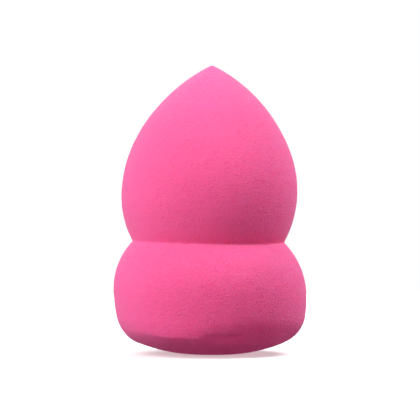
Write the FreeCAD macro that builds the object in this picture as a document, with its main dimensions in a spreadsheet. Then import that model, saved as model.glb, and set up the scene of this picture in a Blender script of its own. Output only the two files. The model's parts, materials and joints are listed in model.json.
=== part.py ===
import FreeCAD, Part
import math
import os
import Sketcher

# Makeup sponge, in millimetres.
# The sponge is one piece of foam: a wide lower lobe and a pointed upper lobe,
# with a sharp crease between them. It stands on its underside, with +Z up
# through the point of the crown. The origin is the middle of the flat patch
# that it stands on.

doc = FreeCAD.newDocument("makeup_sponge")

# Driving sizes: name, value and what the value measures
SIZES = [
    ("rest_flat_width", 6.0, "flat patch under the middle of the sponge"),
    ("underside_radius", 33.0, "shallow dome round the flat patch"),
    ("base_edge_round", 7.4, "soft edge between underside and side"),
    ("lower_flank_radius", 29.0, "side below the widest level of the lower lobe"),
    ("lower_belly_width", 40.0, "width of the lower lobe at its widest level"),
    ("lower_belly_height", 12.8, "from the flat patch up to that level"),
    ("lower_shoulder_radius", 15.2, "lower lobe from its widest level to the crease"),
    ("crease_round", 0.3, "root of the crease"),
    ("upper_flank_radius", 21.4, "upper lobe from the crease to its widest level"),
    ("upper_belly_width", 36.5, "width of the upper lobe at its widest level"),
    ("belly_spacing", 20.6, "from one widest level up to the other"),
    ("crown_flank_radius", 24.0, "side just above the upper lobe's widest level"),
    ("crown_flank_height", 8.2, "how far up that side goes"),
    ("crown_height", 26.6, "from the upper lobe's widest level to the point"),
    ("tip_round", 1.2, "blunt point of the crown"),
]

sizes = doc.addObject("Spreadsheet::Sheet", "sizes")
for row, (name, value, meaning) in enumerate(SIZES, start=1):
    sizes.set("A" + str(row), name)
    sizes.set("B" + str(row), str(value))
    sizes.setAlias("B" + str(row), name)
    sizes.set("C" + str(row), meaning)
doc.recompute()


def size(name):
    return float(sizes.get(name))


def point(out, up):
    return FreeCAD.Vector(out, up, 0)


def towards(start, end):
    step = end - start
    return step.multiply(1 / step.Length)


def beyond(start, through, distance):
    """The point at a distance from the start, in the direction of another point."""
    return start + towards(start, through).multiply(distance)


def outer_meeting(centre_a, radius_a, centre_b, radius_b):
    """Where two circles meet, on the side away from the sponge's axis."""
    gap = (centre_b - centre_a).Length
    along = (gap ** 2 + radius_a ** 2 - radius_b ** 2) / (2 * gap)
    aside = math.sqrt(radius_a ** 2 - along ** 2)
    ahead = towards(centre_a, centre_b)
    between = centre_a + FreeCAD.Vector(ahead).multiply(along)
    square = point(ahead.y, -ahead.x).multiply(aside)
    return max(between + square, between - square, key=lambda place: place.x)


# Levels and widest points of the two lobes
foot = point(0, 0)
patch_edge = point(size("rest_flat_width") / 2, 0)
lower_belly = point(size("lower_belly_width") / 2, size("lower_belly_height"))
upper_level = size("lower_belly_height") + size("belly_spacing")
upper_belly = point(size("upper_belly_width") / 2, upper_level)
crown_point = point(0, upper_level + size("crown_height"))

# Arcs that leave the widest points straight up or straight down
lower_flank_centre = lower_belly - point(size("lower_flank_radius"), 0)
lower_shoulder_centre = lower_belly - point(size("lower_shoulder_radius"), 0)
upper_flank_centre = upper_belly - point(size("upper_flank_radius"), 0)
crown_flank_centre = upper_belly - point(size("crown_flank_radius"), 0)

# Underside dome, and the edge round that touches it and the lower flank
underside_centre = patch_edge + point(0, size("underside_radius"))
edge_centre = outer_meeting(
    underside_centre, size("underside_radius") - size("base_edge_round"),
    lower_flank_centre, size("lower_flank_radius") - size("base_edge_round"))
edge_start = beyond(underside_centre, edge_centre, size("underside_radius"))
edge_end = beyond(lower_flank_centre, edge_centre, size("lower_flank_radius"))

# Crease root, which touches both lobes from outside
crease_centre = outer_meeting(
    lower_shoulder_centre, size("lower_shoulder_radius") + size("crease_round"),
    upper_flank_centre, size("upper_flank_radius") + size("crease_round"))
crease_start = beyond(lower_shoulder_centre, crease_centre, size("lower_shoulder_radius"))
crease_end = beyond(upper_flank_centre, crease_centre, size("upper_flank_radius"))

# Crown: one arc carries on from the flank's end and runs into the blunt point
rise = size("crown_flank_height")
reach = math.sqrt(size("crown_flank_radius") ** 2 - rise ** 2)
flank_end = crown_flank_centre + point(reach, rise)
tip_centre = crown_point - point(0, size("tip_round"))
outward = towards(crown_flank_centre, flank_end)
to_flank = flank_end - tip_centre
crown_radius = (to_flank.dot(to_flank) - size("tip_round") ** 2) / (
    2 * (to_flank.dot(outward) - size("tip_round")))
crown_centre = flank_end - outward.multiply(crown_radius)
tip_start = beyond(tip_centre, tip_centre * 2 - crown_centre, size("tip_round"))

# The body, and the sketch of its half outline on the upright plane
body = doc.addObject("PartDesign::Body", "sponge_body")
body.Label = "sponge_body"
upright = next(plane for plane in body.Origin.OriginFeatures if plane.Role == "XZ_Plane")
outline = body.newObject("Sketcher::SketchObject", "half_outline")
outline.AttachmentSupport = [(upright, "")]
outline.MapMode = "FlatFace"

# How a sketch numbers the places on a line or arc, and counts down through its own axes
START, END, CENTRE = range(1, 4)
LEVEL_AXIS, UPRIGHT_AXIS = range(-1, -3, -1)
ORIGIN = (LEVEL_AXIS, START)


def add_line(start, end):
    return outline.addGeometry(Part.LineSegment(start, end), False)


def add_arc(centre, start, end):
    """An arc that turns to the left from its start to its end."""
    first = math.atan2(start.y - centre.y, start.x - centre.x)
    last = math.atan2(end.y - centre.y, end.x - centre.x)
    if last < first:
        last += 2 * math.pi
    circle = Part.Circle(centre, FreeCAD.Vector(0, 0, 1), (start - centre).Length)
    return outline.addGeometry(Part.ArcOfCircle(circle, first, last), False)


patch = add_line(foot, patch_edge)
underside = add_arc(underside_centre, patch_edge, edge_start)
base_edge = add_arc(edge_centre, edge_start, edge_end)
lower_flank = add_arc(lower_flank_centre, edge_end, lower_belly)
lower_shoulder = add_arc(lower_shoulder_centre, lower_belly, crease_start)
crease = add_arc(crease_centre, crease_end, crease_start)
upper_flank = add_arc(upper_flank_centre, crease_end, upper_belly)
crown_flank = add_arc(crown_flank_centre, upper_belly, flank_end)
crown = add_arc(crown_centre, flank_end, tip_start)
tip = add_arc(tip_centre, tip_start, crown_point)
axis_line = add_line(crown_point, foot)

# Each stretch runs smoothly into the next; the crease is drawn from its top end
climb = [
    (patch, START, END),
    (underside, START, END),
    (base_edge, START, END),
    (lower_flank, START, END),
    (lower_shoulder, START, END),
    (crease, END, START),
    (upper_flank, START, END),
    (crown_flank, START, END),
    (crown, START, END),
    (tip, START, END),
]
for (below, _, leaving), (above, entering, _) in zip(climb, climb[1:]):
    outline.addConstraint(Sketcher.Constraint("Tangent", below, leaving, above, entering))

outline.addConstraint(Sketcher.Constraint("Coincident", patch, START, *ORIGIN))
outline.addConstraint(Sketcher.Constraint("Horizontal", patch))
outline.addConstraint(Sketcher.Constraint("Coincident", axis_line, START, tip, END))
outline.addConstraint(Sketcher.Constraint("Coincident", axis_line, END, patch, START))
outline.addConstraint(Sketcher.Constraint("Vertical", axis_line))
outline.addConstraint(Sketcher.Constraint("PointOnObject", tip, CENTRE, UPRIGHT_AXIS))

# The side stands upright where each lobe is widest
outline.addConstraint(Sketcher.Constraint("Horizontal", lower_flank, CENTRE, lower_flank, END))
outline.addConstraint(Sketcher.Constraint("Horizontal", crown_flank, CENTRE, crown_flank, START))


def bind(kind, name, places, value, formula):
    """A sketch size that follows the sheet."""
    index = outline.addConstraint(Sketcher.Constraint(kind, *places, value))
    outline.renameConstraint(index, name)
    outline.setExpression("Constraints." + name, formula)


for arc, name in [
    (underside, "underside_radius"),
    (base_edge, "base_edge_round"),
    (lower_flank, "lower_flank_radius"),
    (lower_shoulder, "lower_shoulder_radius"),
    (crease, "crease_round"),
    (upper_flank, "upper_flank_radius"),
    (crown_flank, "crown_flank_radius"),
    (tip, "tip_round"),
]:
    bind("Radius", name, (arc,), size(name), "sizes." + name)

for stretch, end, name in [
    (patch, END, "rest_flat_width"),
    (lower_flank, END, "lower_belly_width"),
    (upper_flank, END, "upper_belly_width"),
]:
    places = (*ORIGIN, stretch, end)
    bind("DistanceX", "half_" + name, places, size(name) / 2, "sizes." + name + " / 2")

for places, name in [
    ((*ORIGIN, lower_flank, END), "lower_belly_height"),
    ((lower_flank, END, upper_flank, END), "belly_spacing"),
    ((upper_flank, END, crown_flank, END), "crown_flank_height"),
    ((upper_flank, END, tip, END), "crown_height"),
]:
    bind("DistanceY", name, places, size(name), "sizes." + name)

# The foam body: the half outline turned once round the upright axis
gourd = body.newObject("PartDesign::Revolution", "gourd")
gourd.Profile = outline
gourd.ReferenceAxis = (outline, ["V_Axis"])
gourd.Angle = 360
body.Tip = gourd
body.Placement = FreeCAD.Placement()
doc.recompute()

# Nothing is written unless everything was built soundly
for thing in doc.Objects:
    if "Invalid" in thing.State or "Error" in thing.State:
        raise RuntimeError(thing.Name + " was not built: " + str(thing.State))
if body.Shape.isNull() or not body.Shape.isValid():
    raise RuntimeError("sponge_body is not a valid solid")
if len(body.Shape.Solids) != 1:
    raise RuntimeError("sponge_body is not one solid")

os.makedirs("parts", exist_ok=True)
body.Shape.exportStep("parts/" + body.Label + ".step")

box = body.Shape.optimalBoundingBox(False, False)
print("sponge_body: %.1f x %.1f x %.1f mm" % (box.XLength, box.YLength, box.ZLength))
print("volume: %.0f cubic mm" % body.Shape.Volume)
print("crown radius that closes the outline: %.2f mm" % crown_radius)
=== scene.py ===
# %% [markdown]
# A makeup sponge
#
# The object is one piece of soft pink foam: a pointed upper lobe and a wider
# lower lobe, with a pinched crease between them. The real one is foamed in a
# mould, so it is almost round about its upright axis. This lesson turns a half
# outline into the body, as on a lathe, shapes its base edge and crease, leans
# and roughens it a little so that it stops looking turned, and then spends most
# of its care on the foam: a matte, velvety surface full of pores a few tenths of
# a millimetre wide.
#
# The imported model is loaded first. It is the frame: it says where the sponge
# stands and how large it is, and everything here is in metres.

# %% Load the frame
import bpy
import json
import math
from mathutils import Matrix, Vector

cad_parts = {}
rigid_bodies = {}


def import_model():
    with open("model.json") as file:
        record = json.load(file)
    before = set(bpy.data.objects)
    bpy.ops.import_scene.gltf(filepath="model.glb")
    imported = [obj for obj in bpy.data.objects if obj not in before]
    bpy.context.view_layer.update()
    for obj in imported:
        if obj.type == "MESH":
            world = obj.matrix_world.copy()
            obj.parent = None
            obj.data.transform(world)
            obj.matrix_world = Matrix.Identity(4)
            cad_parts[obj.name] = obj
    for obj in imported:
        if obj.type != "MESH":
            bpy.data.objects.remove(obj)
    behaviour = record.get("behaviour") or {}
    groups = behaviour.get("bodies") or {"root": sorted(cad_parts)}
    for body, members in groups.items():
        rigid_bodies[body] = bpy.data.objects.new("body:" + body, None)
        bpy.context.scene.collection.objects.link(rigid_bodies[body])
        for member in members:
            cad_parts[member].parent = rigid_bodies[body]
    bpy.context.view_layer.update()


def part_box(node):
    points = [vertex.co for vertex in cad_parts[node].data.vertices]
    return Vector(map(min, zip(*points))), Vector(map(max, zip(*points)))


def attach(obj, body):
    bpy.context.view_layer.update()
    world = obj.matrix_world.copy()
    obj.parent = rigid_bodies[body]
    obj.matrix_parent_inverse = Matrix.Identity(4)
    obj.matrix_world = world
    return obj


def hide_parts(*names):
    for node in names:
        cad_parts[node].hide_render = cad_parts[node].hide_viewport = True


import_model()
low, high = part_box("sponge_body")
MM = 0.001
CAD_SIZE = (high - low) / MM
print("sponge in the frame, mm:", [round(side, 2) for side in CAD_SIZE])

# %% [markdown]
# The half outline
#
# Seen from the side, the sponge is a chain of arcs that run smoothly into each
# other: a flat patch, a shallow dome under it, a soft base edge, the side of
# the lower lobe, the crease, the side of the upper lobe and the crown. It could
# be drawn by eye as a curve, but arcs keep it true to the solid. So the whole
# height and width come from the frame, the other sizes repeat the solid's own,
# in millimetres, and each arc's centre is worked out from the two arcs that it
# touches.

# %% Sizes of the outline, in millimetres
LOWER_WIDTH = CAD_SIZE.x
HEIGHT = CAD_SIZE.z
PATCH_WIDTH = 6.0
UNDERSIDE_RADIUS = 33.0
BASE_EDGE_ROUND = 7.4
LOWER_FLANK_RADIUS = 29.0
LOWER_LEVEL = 12.8
LOWER_SHOULDER_RADIUS = 15.2
CREASE_ROUND = 0.3
UPPER_FLANK_RADIUS = 21.4
UPPER_WIDTH = 36.5
UPPER_LEVEL = 33.4
CROWN_FLANK_RADIUS = 24.0
CROWN_FLANK_HEIGHT = 8.2
TIP_ROUND = 1.2


# %% Where arcs meet
def beyond(start, through, distance):
    """The point at a distance from the start, towards another point."""
    return start + (through - start).normalized() * distance


def outer_meeting(centre_a, radius_a, centre_b, radius_b):
    """Where two circles cross, on the side away from the sponge's axis."""
    across = centre_b - centre_a
    along = (across.length_squared + radius_a ** 2 - radius_b ** 2) / (2 * across.length)
    aside = math.sqrt(radius_a ** 2 - along ** 2)
    ahead = across.normalized()
    middle = centre_a + ahead * along
    square = Vector((ahead.y, -ahead.x)) * aside
    return max(middle + square, middle - square, key=lambda place: place.x)


# %% The arcs, from the patch up to the point
patch_edge = Vector((PATCH_WIDTH / 2, 0))
lower_belly = Vector((LOWER_WIDTH / 2, LOWER_LEVEL))
upper_belly = Vector((UPPER_WIDTH / 2, UPPER_LEVEL))
underside = patch_edge + Vector((0, UNDERSIDE_RADIUS))
lower_flank = lower_belly - Vector((LOWER_FLANK_RADIUS, 0))
lower_shoulder = lower_belly - Vector((LOWER_SHOULDER_RADIUS, 0))
upper_flank = upper_belly - Vector((UPPER_FLANK_RADIUS, 0))
crown_flank = upper_belly - Vector((CROWN_FLANK_RADIUS, 0))

base_edge = outer_meeting(underside, UNDERSIDE_RADIUS - BASE_EDGE_ROUND,
                          lower_flank, LOWER_FLANK_RADIUS - BASE_EDGE_ROUND)
edge_start = beyond(underside, base_edge, UNDERSIDE_RADIUS)
edge_end = beyond(lower_flank, base_edge, LOWER_FLANK_RADIUS)

crease = outer_meeting(lower_shoulder, LOWER_SHOULDER_RADIUS + CREASE_ROUND,
                       upper_flank, UPPER_FLANK_RADIUS + CREASE_ROUND)
crease_start = beyond(lower_shoulder, crease, LOWER_SHOULDER_RADIUS)
crease_end = beyond(upper_flank, crease, UPPER_FLANK_RADIUS)

reach = math.sqrt(CROWN_FLANK_RADIUS ** 2 - CROWN_FLANK_HEIGHT ** 2)
crown_start = crown_flank + Vector((reach, CROWN_FLANK_HEIGHT))
tip = Vector((0, HEIGHT - TIP_ROUND))
outward = (crown_start - crown_flank).normalized()
to_tip = crown_start - tip
crown_radius = (to_tip.length_squared - TIP_ROUND ** 2) / (2 * (to_tip.dot(outward) - TIP_ROUND))
crown = crown_start - outward * crown_radius
tip_start = tip + (tip - crown).normalized() * TIP_ROUND
top = Vector((0, HEIGHT))

ARCS = [
    (underside, patch_edge, edge_start),
    (base_edge, edge_start, edge_end),
    (lower_flank, edge_end, lower_belly),
    (lower_shoulder, lower_belly, crease_start),
    (crease, crease_start, crease_end),
    (upper_flank, crease_end, upper_belly),
    (crown_flank, upper_belly, crown_start),
    (crown, crown_start, tip_start),
    (tip, tip_start, top),
]
print("crease root, mm from the axis and up:", crease_start, crease_end)

# %% Points along the outline
STEP = 0.38
EDGE_STEP = 0.2
LEAST_STEPS = 4


def along_arc(centre, start, end, step):
    """Points along an arc, without its start, about one step apart."""
    sweep = (start - centre).angle_signed(end - centre)
    radius = (start - centre).length
    count = max(LEAST_STEPS, math.ceil(abs(sweep) * radius / step))
    first = math.atan2(start.y - centre.y, start.x - centre.x)
    turns = [first - sweep * i / count for i in range(1, count + 1)]
    return [centre + Vector((math.cos(turn), math.sin(turn))) * radius for turn in turns]


patch_steps = math.ceil(patch_edge.x / STEP)
outline = [patch_edge * i / patch_steps for i in range(patch_steps + 1)]
for centre, start, end in ARCS:
    outline += along_arc(centre, start, end, EDGE_STEP if centre is base_edge else STEP)
print("points on the half outline:", len(outline))

# %% [markdown]
# Turning the body
#
# By hand, a half outline is drawn by extruding one vertex again and again, and
# Spin then carries it round the axis. A plane merged at its centre gives the
# first vertex. Spin leaves doubled vertices at the axis and where the turn
# closes, so they are merged, and then the normals are made to point outwards.

# %% Draw the outline and spin it
SEGMENTS = 320
DOUBLES_WITHIN = 0.01


def only(piece):
    """Selects one object and nothing else."""
    bpy.ops.object.select_all(action="DESELECT")
    piece.select_set(True)
    bpy.context.view_layer.objects.active = piece


bpy.ops.object.select_all(action="DESELECT")
bpy.ops.mesh.primitive_plane_add(size=MM)
sponge = bpy.context.object
sponge.name = "foam_sponge"
bpy.ops.object.mode_set(mode="EDIT")
bpy.ops.mesh.select_all(action="SELECT")
bpy.ops.mesh.merge(type="CENTER")
for here, there in zip(outline, outline[1:]):
    step = (there - here) * MM
    bpy.ops.mesh.extrude_region_move(TRANSFORM_OT_translate={"value": (step.x, 0, step.y)})
bpy.ops.mesh.select_all(action="SELECT")
bpy.ops.mesh.spin(steps=SEGMENTS, angle=2 * math.pi, center=(0, 0, 0), axis=(0, 0, 1))
bpy.ops.mesh.select_all(action="SELECT")
bpy.ops.mesh.remove_doubles(threshold=DOUBLES_WITHIN * MM)
bpy.ops.mesh.normals_make_consistent(inside=False)
bpy.ops.object.mode_set(mode="OBJECT")
bpy.ops.object.shade_smooth()
print("faces in the turned body:", len(sponge.data.polygons))

# %% [markdown]
# Shaping the base edge and the crease
#
# The soft edge round the base isn't the same all the way. At the front left the
# side runs further down and then turns under sharply, which draws a crisp line
# above the dark underside. To the right of the middle that line sits higher and
# softens, and a short fold lies under it. The crease sags a little at the front,
# and the upper lobe hangs over it, so that its lowest two millimetres are dark.
#
# In sculpt mode these are three strokes of the Crease brush. The one along the
# base edge draws the foam out at the front left and presses it in a little at
# the right, and the other two only press it in. Here a stroke is a few stops on
# the way round, each with its azimuth, the height of the line there and how far
# the foam moves. Between two stops the numbers pass smoothly from one to the
# next, and past the ends nothing moves. Each stroke also has a crisp or a soft
# falloff, and its reach above and below the line. The fold's reach is short
# above, so that the foam hangs over it and draws a dark line. The crease's is
# short below, so that only the upper lobe is undercut. Every move is worked out
# before the first is made, so that the strokes don't depend on each other.

# %% Strokes along the base edge and the crease
# A stop: azimuth in degrees, height of the line and how far the foam moves out, in mm
EDGE_STOPS = [
    (-130, 3.0, 0.0),
    (-96, 2.0, 0.2),
    (-66, 4.9, 0.12),
    (-46, 4.8, 0.36),
    (-30, 4.3, 0.85),
    (-9, 4.15, 0.8),
    (6, 4.5, 0.05),
    (23, 5.0, -0.25),
    (50, 5.2, -0.18),
    (92, 1.8, -0.3),
    (130, 3.0, 0.0),
]
FOLD_STOPS = [
    (-9, 4.6, 0.0),
    (2, 4.75, -0.4),
    (15, 4.75, -0.6),
    (23, 4.8, 0.0),
]
CREASE_STOPS = [
    (-55, crease.y, 0.0),
    (-22, crease.y - 0.35, -0.3),
    (5, crease.y - 0.2, -0.45),
    (50, crease.y - 0.1, -0.45),
    (85, crease.y, 0.0),
]
CRISP = 1
SOFT = 2
# A stroke: its stops, its falloff and its reach above and below the line, in mm
STROKES = [
    (EDGE_STOPS, CRISP, 5.0, 5.0),
    (FOLD_STOPS, SOFT, 0.3, 3.0),
    (CREASE_STOPS, CRISP, 2.4, 0.4),
]
print("strokes:", len(STROKES))


# %% Where a stroke runs and how far the outline stands out
def between_stops(stops, azimuth):
    """Height of a stroke's line and how far it moves the foam; azimuth 0 faces the camera."""
    for (start, height, depth), (end, next_height, next_depth) in zip(stops, stops[1:]):
        if start <= azimuth < end:
            share = (azimuth - start) / (end - start)
            share = share * share * (3 - 2 * share)
            return height + share * (next_height - height), depth + share * (next_depth - depth)
    return stops[0][1:]


def radius_at(height):
    """How far the outline stands from the axis at a height."""
    for here, there in zip(outline, outline[1:]):
        if here.y <= height < there.y:
            return here.x + (there.x - here.x) * (height - here.y) / (there.y - here.y)


# %% Move the foam
moves = []
for vertex in sponge.data.vertices:
    place = vertex.co / MM
    azimuth = math.degrees(math.atan2(place.x, -place.y))
    outwards = Vector((place.x, place.y, 0))
    push = 0
    for stops, falloff, reach_above, reach_below in STROKES:
        height, depth = between_stops(stops, azimuth)
        aside = math.hypot(outwards.length - radius_at(height), place.z - height)
        stroke_reach = reach_above if place.z > height else reach_below
        push += depth * max(0, 1 - (aside / stroke_reach) ** falloff) ** 2
    moves.append(outwards.normalized() * push * MM)
for vertex, move in zip(sponge.data.vertices, moves):
    vertex.co += move
print("foam moved by up to, mm:", round(max(move.length for move in moves) / MM, 2))

# %% [markdown]
# Leaning the body
#
# A sponge that was foamed in a mould and squeezed by hands isn't quite round.
# In the photo the point leans a little to the right, the waist sits a little to
# the left, and the crease runs slightly downhill. A lattice carries such broad
# moves well: each of its rows stands at one height, is shifted sideways and
# made a little wider or narrower, and the row at the crease is tilted too.

# %% Lean the sponge with a lattice
# A row, from the floor up: its shift to the right in mm, and its swell as a share of its width
ROWS = [
    (0.38, 0.006),
    (0.07, 0.006),
    (-0.33, 0.004),
    (0.0, 0.007),
    (0.14, 0.0),
    (0.42, -0.02),
]
CREASE_ROW = 2
CREASE_TILT = 0.33
CAGE_SIDE = 44.0

bpy.ops.object.select_all(action="DESELECT")
bpy.ops.object.add(type="LATTICE", location=(0, 0, HEIGHT * MM / 2))
cage = bpy.context.object
cage.name = "lean_cage"
cage.scale = (CAGE_SIDE * MM, CAGE_SIDE * MM, HEIGHT * MM)
cage.data.points_u = 2
cage.data.points_v = 2
cage.data.points_w = len(ROWS)
cage.data.interpolation_type_w = "KEY_CARDINAL"
corners_in_row = cage.data.points_u * cage.data.points_v
for i, corner in enumerate(cage.data.points):
    row = i // corners_in_row
    shift, swell = ROWS[row]
    corner.co_deform.x += shift / CAGE_SIDE + swell * corner.co.x
    if row == CREASE_ROW:
        corner.co_deform.z -= math.copysign(CREASE_TILT / HEIGHT, corner.co.x)

only(sponge)
lean = sponge.modifiers.new("lean", "LATTICE")
lean.object = cage
bpy.ops.object.modifier_apply(modifier=lean.name)
only(cage)
bpy.ops.object.delete()
highest = max(sponge.data.vertices, key=lambda vertex: vertex.co.z)
print("the point stands aside of the axis by, mm:", round(highest.co.x / MM, 2))

# %% [markdown]
# Uneven foam
#
# Moulded foam has soft lumps and dents, and its skin has a fine grain that the
# fingers feel. The broad lumps could be sculpted, but a cloud texture under a
# Displace modifier spreads them evenly and gives the same result each time. It
# is used twice, with lumps of a wide and of a narrow kind. The pores are finer
# than any sensible mesh, so they wait for the material.

# %% Roughen the surface
# A kind of lump: its name, and its width and height in mm
LUMPS = [
    ("broad_lumps", 15.0, 0.25),
    ("grain_lumps", 1.3, 0.05),
]

only(sponge)
for name, width, height in LUMPS:
    clouds = bpy.data.textures.new(name, "CLOUDS")
    clouds.noise_scale = width * MM
    clouds.noise_depth = 1
    uneven = sponge.modifiers.new(name, "DISPLACE")
    uneven.texture = clouds
    uneven.texture_coords = "LOCAL"
    uneven.strength = height * MM
    uneven.mid_level = 0.5
    bpy.ops.object.modifier_apply(modifier=uneven.name)
print("size, mm:", [round(side / MM, 2) for side in sponge.dimensions])

# %% [markdown]
# Setting it down
#
# Foam gives where it rests. The body is lowered until it dips a few hundredths
# of a millimetre into the floor, and what is under the floor is pressed flat.

# %% Seat the sponge on the floor
DIP = 0.03

lowest = min(vertex.co.z for vertex in sponge.data.vertices)
bpy.ops.object.mode_set(mode="EDIT")
bpy.ops.mesh.select_mode(type="VERT")
bpy.ops.mesh.select_all(action="SELECT")
bpy.ops.transform.translate(value=(0, 0, -lowest - DIP * MM))
bpy.ops.mesh.select_all(action="DESELECT")
bpy.ops.object.mode_set(mode="OBJECT")
pressed = [vertex for vertex in sponge.data.vertices if vertex.co.z < 0]
for vertex in pressed:
    vertex.select = True
bpy.ops.object.mode_set(mode="EDIT")
bpy.ops.transform.resize(value=(1, 1, 0), center_override=(0, 0, 0))
bpy.ops.object.mode_set(mode="OBJECT")
print("points pressed flat:", len(pressed))


# %% [markdown]
# Colours and nodes
#
# Materials are node trees, and by hand they would be dragged together in the
# Shader Editor. Two small helpers keep the code as readable as that picture.
# One turns a colour, as it is picked on a screen, into the linear numbers that
# a shader calculates with. The other adds a node with its settings and its
# links in one step.

# %% Helpers for materials
# The sRGB curve: a straight start up to its end, and above it an offset power
START_END = 0.04045
START_SLOPE = 12.92
OFFSET = 0.055
POWER = 2.4


def linear(code):
    """A hex colour, as on a screen, as the linear numbers that a shader reads."""
    parts = []
    for i in (1, 3, 5):
        part = int(code[i:i + 2], 16) / 255
        if part <= START_END:
            parts.append(part / START_SLOPE)
        else:
            parts.append(((part + OFFSET) / (1 + OFFSET)) ** POWER)
    return (*parts, 1)


def add_node(tree, kind, links=None, **settings):
    """A node with its settings, and its inputs set to values or linked from sockets."""
    node = tree.nodes.new(kind)
    for name, value in settings.items():
        setattr(node, name, value)
    for name, value in (links or {}).items():
        if isinstance(value, bpy.types.NodeSocket):
            tree.links.new(value, node.inputs[name])
        else:
            node.inputs[name].default_value = value
    return node


def new_material(name):
    """A material whose node tree is still empty."""
    material = bpy.data.materials.new(name)
    material.use_nodes = True
    material.node_tree.nodes.clear()
    return material


# %% [markdown]
# The foam
#
# Makeup sponges are foamed from polyurethane, dyed right through, and come out
# of the mould or the grinder with a matte, velvety skin of open pores. To the
# eye that is three things: hardly any gloss, a pale bloom where the surface
# turns away, because thousands of cell edges stick up there like the pile of
# velvet, and soft shadows that stay pink, because light wanders a millimetre or
# two through the cells. Sheen gives the bloom and subsurface scattering gives
# the warm shadows.
#
# The pores are the middles of a Voronoi pattern's cells, and a noise roughens
# the walls between them. Both drive the bump, and inside a pore the pink is a
# trace darker, which is painted shade. Here and there a bubble has burst at the
# skin and left a round pit, which shows as a dark speck with a light edge. The
# pits are the middles of a second, wider pattern, and they are bump alone. Real
# cells are 0.2 to 0.4 mm wide. In the render a pixel is 0.2 mm, so the smaller
# ones would blur away, and all are drawn at the larger size. Red light goes
# furthest through the foam and green the least, and the refraction index stays
# at 1.5, which is about polyurethane's own.

# %% Pores in the foam
# In mm, but a pore's edge is in shares of the spacing, and grain and pits in shares of the relief
PORE_SPACING = 0.42
PORE_EDGE_SHARES = (0.1, 0.45)
GRAIN_WIDTH = 0.3
GRAIN_SHARE = 2.6
PIT_SPACING = 0.75
PIT_RADIUS = 0.2
PIT_SHARE = 4.5
RELIEF = 0.055

foam = new_material("polyurethane_foam")
tree = foam.node_tree
coords = add_node(tree, "ShaderNodeTexCoord")
in_mm = add_node(tree, "ShaderNodeVectorMath", {0: coords.outputs["Object"], "Scale": 1 / MM},
                 operation="SCALE")
cells = add_node(tree, "ShaderNodeTexVoronoi", {"Vector": in_mm.outputs[0],
                                                "Scale": 1 / PORE_SPACING})
walls = add_node(tree, "ShaderNodeMapRange", {
    "Value": cells.outputs["Distance"],
    "From Min": PORE_EDGE_SHARES[0],
    "From Max": PORE_EDGE_SHARES[1],
}, interpolation_type="SMOOTHSTEP")
grain = add_node(tree, "ShaderNodeTexNoise", {"Vector": in_mm.outputs[0], "Scale": 1 / GRAIN_WIDTH,
                                              "Detail": 0.0})
fine = add_node(tree, "ShaderNodeMath", {0: grain.outputs["Fac"], 1: GRAIN_SHARE,
                                         2: walls.outputs[0]}, operation="MULTIPLY_ADD")
bubbles = add_node(tree, "ShaderNodeTexVoronoi", {"Vector": in_mm.outputs[0],
                                                  "Scale": 1 / PIT_SPACING})
pits = add_node(tree, "ShaderNodeMapRange", {
    "Value": bubbles.outputs["Distance"],
    "From Max": PIT_RADIUS / PIT_SPACING,
}, interpolation_type="SMOOTHSTEP")
relief = add_node(tree, "ShaderNodeMath", {0: pits.outputs[0], 1: PIT_SHARE, 2: fine.outputs[0]},
                  operation="MULTIPLY_ADD")
pitted = add_node(tree, "ShaderNodeBump", {"Height": relief.outputs[0], "Distance": RELIEF * MM})
print("pores and pits apart, mm:", PORE_SPACING, PIT_SPACING)

# %% Colour and softness of the foam
FOAM_PINK = "#FC649F"
# The darker pink is painted shade inside the pores
PORE_SHADE_PINK = "#FA619D"
LIGHT_WANDERS = 1.5
RED_GREEN_BLUE = (1.0, 0.25, 0.45)

# The pink is a trace darker inside the pores: painted shade
pink_and_pore_shade = add_node(tree, "ShaderNodeMix", {"Factor": walls.outputs[0], "A": linear(PORE_SHADE_PINK),
                                        "B": linear(FOAM_PINK)}, data_type="RGBA")
skin = add_node(tree, "ShaderNodeBsdfPrincipled", {
    "Base Color": pink_and_pore_shade.outputs["Result"],
    "Roughness": 0.95,
    "Specular IOR Level": 0.1,
    "Sheen Weight": 0.12,
    "Sheen Roughness": 0.5,
    "Subsurface Weight": 0.7,
    "Subsurface Radius": RED_GREEN_BLUE,
    "Subsurface Scale": LIGHT_WANDERS * MM,
    "Normal": pitted.outputs["Normal"],
})
add_node(tree, "ShaderNodeOutputMaterial", {"Surface": skin.outputs["BSDF"]})
sponge.data.materials.append(foam)
print("material on the sponge:", sponge.data.materials[0].name)


# %% [markdown]
# Floor and room
#
# The photo shows the sponge on plain white. A room and a floor that really were
# that bright would light it from every side and wash its shading out. So both
# have two looks, told apart by the kind of ray: the camera and any reflection
# see them white, and the light that reaches the sponge comes from a dimmer
# look. By hand the Light Path node does the same.
#
# The floor's white look is a pale paint that takes the sponge's shadow, with a
# little glow so that the lamps bring it to white. Its dim look is an even pink
# glow, because most of the light down there has come off the pink foam before,
# and the photo's underside is lit evenly.

# %% What the camera and reflections see
def seen_directly(tree):
    """1 for a ray that shows the background as such: from the camera, or off or through gloss."""
    rays = add_node(tree, "ShaderNodeLightPath")
    seen = add_node(tree, "ShaderNodeMath", {0: rays.outputs["Is Camera Ray"],
                                             1: rays.outputs["Is Glossy Ray"]}, operation="MAXIMUM")
    seen = add_node(tree, "ShaderNodeMath", {0: seen.outputs[0],
                                             1: rays.outputs["Is Transmission Ray"]},
                    operation="MAXIMUM")
    return seen.outputs[0]


# %% Floor
FLOOR_SIDE = 0.6
FLOOR_WHITE = "#F2F2F2"
FLOOR_GLOW = 0.4
BOUNCE_PINK = "#FF8FD0"
BOUNCE = 0.24

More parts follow.
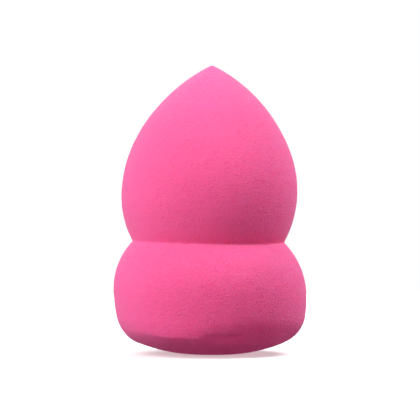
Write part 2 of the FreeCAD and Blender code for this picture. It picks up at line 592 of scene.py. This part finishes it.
floor_paint = new_material("white_floor")
tree = floor_paint.node_tree
seen = seen_directly(tree)
lit = add_node(tree, "ShaderNodeBsdfDiffuse", {"Color": linear(FLOOR_WHITE)})
glow = add_node(tree, "ShaderNodeEmission", {"Strength": FLOOR_GLOW})
white = add_node(tree, "ShaderNodeAddShader", {0: lit.outputs[0], 1: glow.outputs[0]})
dull = add_node(tree, "ShaderNodeEmission", {"Color": linear(BOUNCE_PINK), "Strength": BOUNCE})
either = add_node(tree, "ShaderNodeMixShader", {0: seen, 1: dull.outputs[0], 2: white.outputs[0]})
add_node(tree, "ShaderNodeOutputMaterial", {"Surface": either.outputs[0]})
bpy.ops.object.select_all(action="DESELECT")
bpy.ops.mesh.primitive_plane_add(size=FLOOR_SIDE)
floor = bpy.context.object
floor.name = "floor"
floor.data.materials.append(floor_paint)
print("floor side, m:", FLOOR_SIDE)

# %% World
ROOM_WHITE = "#FFFFFF"
AMBIENT = 0.15
BRIGHT = 1.0

world = bpy.data.worlds.new("white_room")
bpy.context.scene.world = world
world.use_nodes = True
world.node_tree.nodes.clear()
tree = world.node_tree
dim = add_node(tree, "ShaderNodeBackground", {"Color": linear(ROOM_WHITE), "Strength": AMBIENT})
bright = add_node(tree, "ShaderNodeBackground", {"Color": linear(ROOM_WHITE), "Strength": BRIGHT})
either = add_node(tree, "ShaderNodeMixShader", {0: seen_directly(tree), 1: dim.outputs[0],
                                                2: bright.outputs[0]})
add_node(tree, "ShaderNodeOutputWorld", {"Surface": either.outputs[0]})
print("light of the room on the sponge:", AMBIENT)

# %% [markdown]
# Lights
#
# Soft boxes, as in a product studio, because their broad light rolls gently
# round the foam. A tall one on the left is the main light. It leaves the right
# half in a soft shade, where the pores show best. Two small ones on the right
# lift the far side, and one behind gives the outline its pale rim.

# %% Lights
LAMP_DISTANCE = 0.9


def lamp(name, azimuth, elevation, width, height, power):
    """A soft box, its sides in metres; azimuth 0 is on the camera's side, 90 on the right."""
    turn = math.radians(azimuth)
    climb = math.radians(elevation)
    middle = Vector((0, 0, HEIGHT * MM / 2))
    level = math.cos(climb)
    heading = Vector((math.sin(turn) * level, -math.cos(turn) * level, math.sin(climb)))
    bpy.ops.object.light_add(type="AREA", location=middle + heading * LAMP_DISTANCE)
    light = bpy.context.object
    light.name = name
    light.data.shape = "RECTANGLE"
    light.data.size = width
    light.data.size_y = height
    light.data.energy = power
    light.rotation_euler = heading.to_track_quat("Z", "Y").to_euler()
    print(name, "in watts:", power)


lamp("tall_key", azimuth=-55, elevation=28, width=0.5, height=1.1, power=10.75)
lamp("high_right", azimuth=90, elevation=55, width=0.45, height=0.45, power=6.4)
lamp("low_right", azimuth=60, elevation=5, width=0.45, height=0.45, power=2.4)
lamp("back", azimuth=180, elevation=30, width=0.45, height=0.45, power=2.0)

# %% [markdown]
# Camera
#
# In the photo the crease is almost a straight line and the base curves up at
# both sides, so the camera stands a little above the crease. The picture is 420
# pixels wide, and one millimetre at the sponge's axis takes 4.8 of them. From
# that and the distance comes the focal length.

# %% Camera
# The camera's distance and height are in metres, and its sensor in millimetres
PHOTO_SIDE = 420
PIXELS_PER_MM = 4.8
DISTANCE = 0.6
CAMERA_HEIGHT = 0.0376
SENSOR = 36.0

bpy.ops.object.camera_add(location=(0, -DISTANCE, CAMERA_HEIGHT))
camera = bpy.context.object
camera.data.sensor_width = SENSOR
camera.data.lens = SENSOR * PIXELS_PER_MM * DISTANCE / MM / PHOTO_SIDE
aim = Vector((0, 0, HEIGHT * MM / 2)) - camera.location
camera.rotation_euler = aim.to_track_quat("-Z", "Y").to_euler()
bpy.context.scene.camera = camera
print("focal length, mm:", round(camera.data.lens, 1))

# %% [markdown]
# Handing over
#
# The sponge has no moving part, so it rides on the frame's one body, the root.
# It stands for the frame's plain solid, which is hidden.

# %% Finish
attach(sponge, "root")
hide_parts("sponge_body")
bpy.context.scene.view_settings.view_transform = "Standard"
